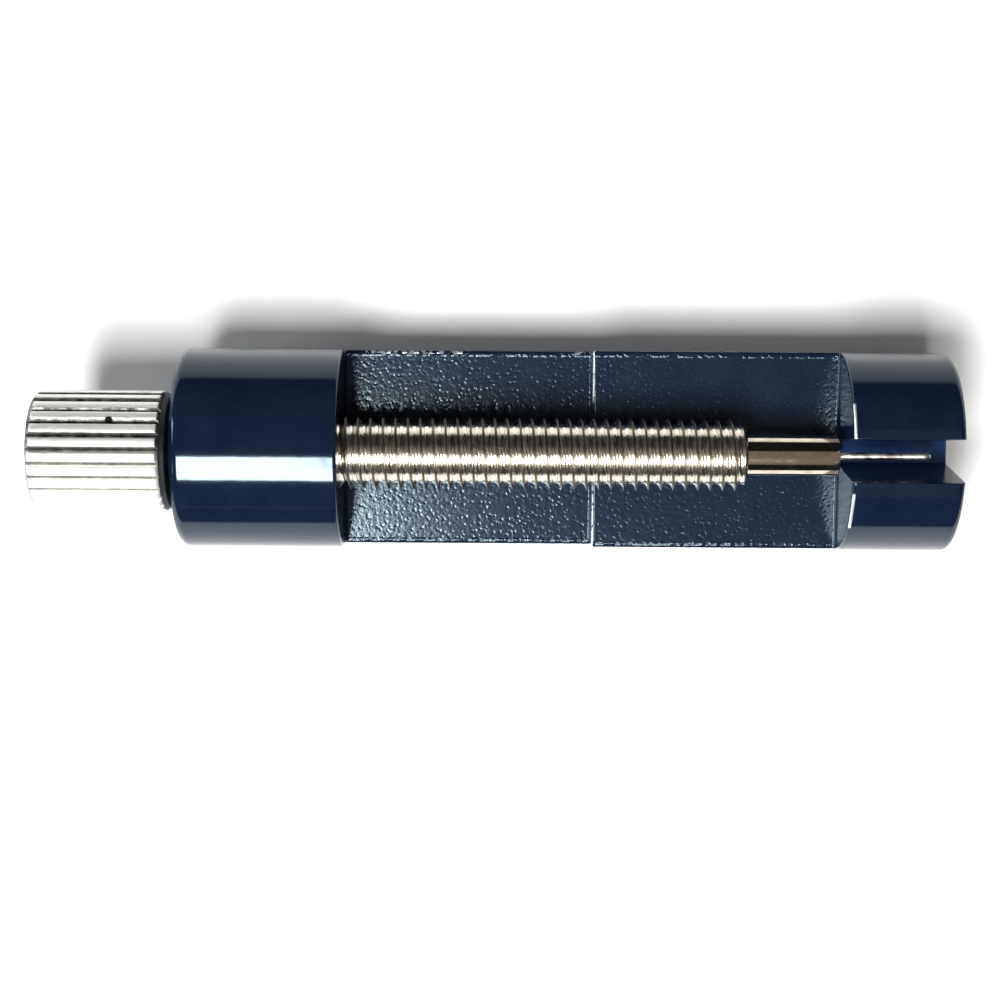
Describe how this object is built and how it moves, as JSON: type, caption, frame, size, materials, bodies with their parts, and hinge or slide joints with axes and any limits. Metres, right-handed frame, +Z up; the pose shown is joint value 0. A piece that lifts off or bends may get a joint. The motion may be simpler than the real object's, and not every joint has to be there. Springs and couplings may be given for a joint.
{
  "type": "watch link pin remover",
  "caption": "Small screw press for bracelet link pins: round body with tapped ring, two-level bed and slotted jaws, knurled knob on a lead screw, and a thin push pin.",
  "frame": {"origin": "on the surface that the tool lies on, under the middle of its length", "axes": "+X along the tool towards the jaws, +Y across it, +Z up out of the bed"},
  "size_m": [0.0742, 0.0164, 0.017],
  "materials": {
    "black_paint": "glossy blue-black paint over a cast surface",
    "nickel_thread": "bright nickel plate on a rolled thread",
    "nickel_knob": "bright nickel plate on straight knurling",
    "nickel_sleeve": "turned, nickel plated",
    "hard_steel": "ground hardened steel"
  },
  "bodies": {
    "frame": {"tool_body": "black_paint"},
    "pin": {"push_pin": "hard_steel"},
    "screw": {"lead_screw": "nickel_thread", "knurled_knob": "nickel_knob", "tip_sleeve": "nickel_sleeve"}
  },
  "joints": [
    {"name": "advance", "type": "slide", "parent": "frame", "child": "pin", "axis": [1, 0, 0], "range_m": [-0.03, 0]},
    {"name": "turn", "type": "hinge", "parent": "pin", "child": "screw", "pos_m": [0, 0, 0.01208], "axis": [1, 0, 0], "range_deg": [-10800, 0]}
  ],
  "couplings": [
    {"joint": "turn", "follows": "advance", "rad_per_m": 6283.2}
  ]
}
